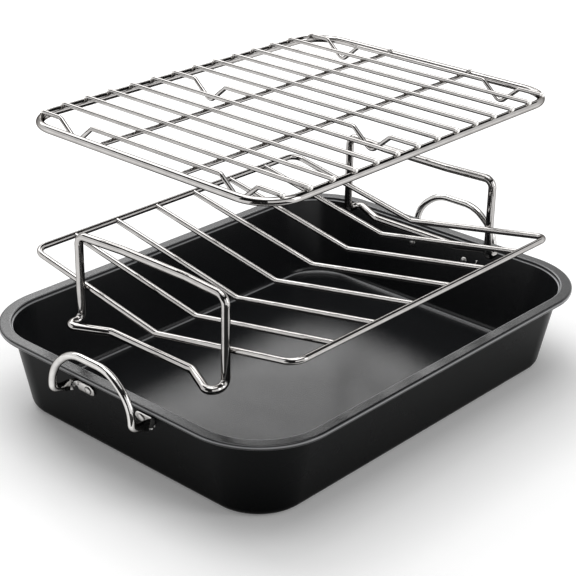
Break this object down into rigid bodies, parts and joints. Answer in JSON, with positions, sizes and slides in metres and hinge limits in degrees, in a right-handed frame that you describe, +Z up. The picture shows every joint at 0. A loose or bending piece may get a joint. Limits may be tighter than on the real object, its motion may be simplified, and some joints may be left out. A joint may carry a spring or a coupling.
{
  "type": "roasting pan with rack",
  "caption": "Rectangular roasting pan with riveted loop handles, a V-shaped wire roasting rack with loop handles, and a flat wire rack, lifted apart one above the other.",
  "frame": {"origin": "centre of the pan's flat underside", "axes": "+X along the pan towards its right-hand handle, +Y across the pan towards its far long wall, +Z up"},
  "size_m": [0.4562, 0.332, 0.2484],
  "materials": {
    "pan_coating": "dark satin non-stick coating on steel sheet",
    "handle_steel": "polished stainless steel rod",
    "rivet_steel": "plain stainless steel",
    "v_rack_chrome": "bright chrome plate on steel wire",
    "flat_rack_chrome": "bright chrome plate on steel wire"
  },
  "bodies": {
    "pan": {"pan_shell": "pan_coating", "pan_handle_left": "handle_steel", "pan_handle_right": "handle_steel", "pan_handle_rivets": "rivet_steel"},
    "v_rack": {"v_rack_frame": "v_rack_chrome", "v_rack_cross_wire_1": "v_rack_chrome", "v_rack_cross_wire_2": "v_rack_chrome", "v_rack_cross_wire_3": "v_rack_chrome", "v_rack_cross_wire_4": "v_rack_chrome", "v_rack_cross_wire_5": "v_rack_chrome", "v_rack_cross_wire_6": "v_rack_chrome", "v_rack_loop_left": "v_rack_chrome", "v_rack_loop_right": "v_rack_chrome"},
    "flat_rack": {"flat_rack_frame": "flat_rack_chrome", "flat_rack_wire_1": "flat_rack_chrome", "flat_rack_wire_2": "flat_rack_chrome", "flat_rack_wire_3": "flat_rack_chrome", "flat_rack_wire_4": "flat_rack_chrome", "flat_rack_wire_5": "flat_rack_chrome", "flat_rack_wire_6": "flat_rack_chrome", "flat_rack_wire_7": "flat_rack_chrome", "flat_rack_wire_8": "flat_rack_chrome", "flat_rack_wire_9": "flat_rack_chrome", "flat_rack_wire_10": "flat_rack_chrome", "flat_rack_wire_11": "flat_rack_chrome", "flat_rack_wire_12": "flat_rack_chrome", "flat_rack_wire_13": "flat_rack_chrome", "flat_rack_wire_14": "flat_rack_chrome", "flat_rack_long_wire_front": "flat_rack_chrome", "flat_rack_long_wire_back": "flat_rack_chrome"}
  },
  "joints": [
    {"name": "v_rack_lift", "type": "slide", "parent": "pan", "child": "v_rack", "axis": [0, 0, 1], "range_m": [-0.0812, 0.04]},
    {"name": "flat_rack_lift", "type": "slide", "parent": "v_rack", "child": "flat_rack", "axis": [0, 0, 1], "range_m": [-0.0796, 0.04]}
  ]
}
